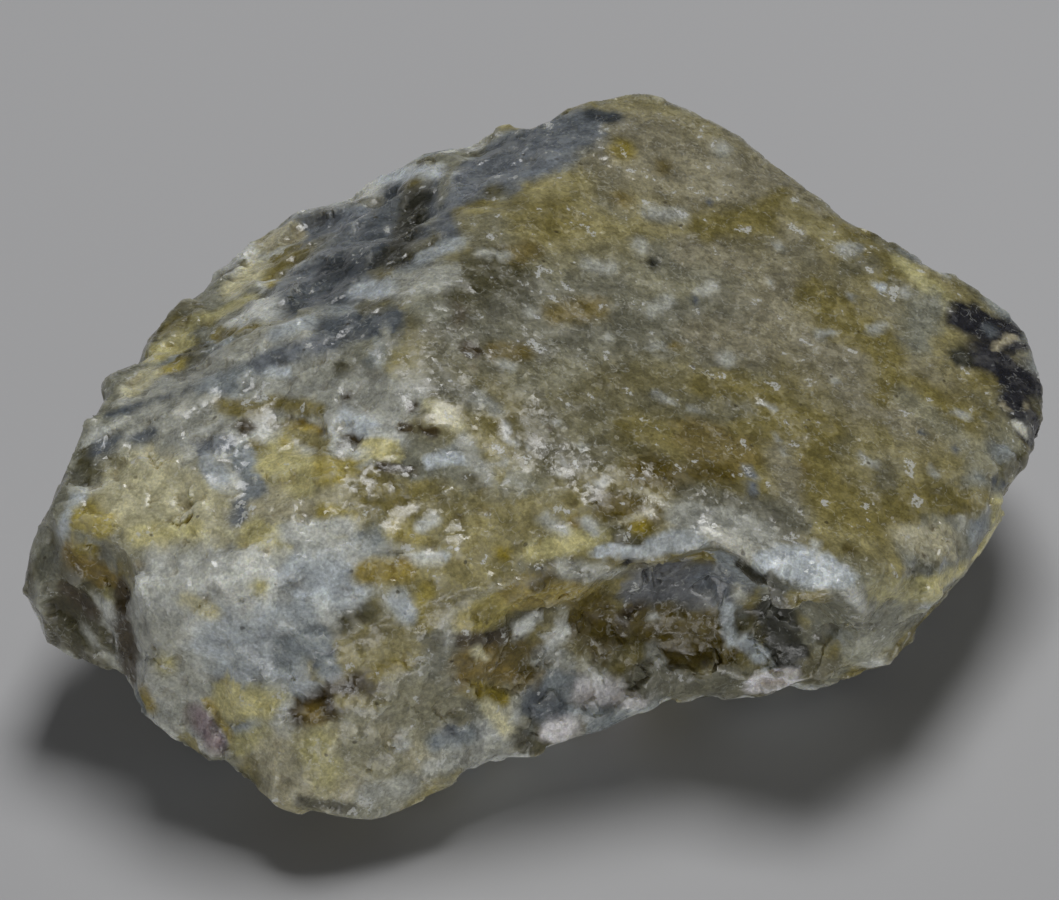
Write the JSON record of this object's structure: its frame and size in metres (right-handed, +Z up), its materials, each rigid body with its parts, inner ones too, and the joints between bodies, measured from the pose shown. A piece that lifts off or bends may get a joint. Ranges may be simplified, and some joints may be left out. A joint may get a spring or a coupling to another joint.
{
  "type": "fluorite specimen",
  "caption": "Rough hand specimen of massive yellow-green, white and grey fluorite, broken to a flat-topped wedge with an overhanging lip, resting on its own foot.",
  "frame": {"origin": "the middle of the stone's box in X and Y, on the flat foot it rests on", "axes": "+X along the stone's length towards its charcoal end, -Y towards the side with the recess and the lip, +Z up from the surface it rests on"},
  "size_m": [0.0994, 0.0798, 0.0371],
  "materials": {
    "fluorite": "broken crystal faces, glassy to sugary, translucent yellow-green with white, grey-blue and charcoal zones"
  },
  "bodies": {
    "root": {"fluorite_specimen": "fluorite"}
  },
  "joints": []
}
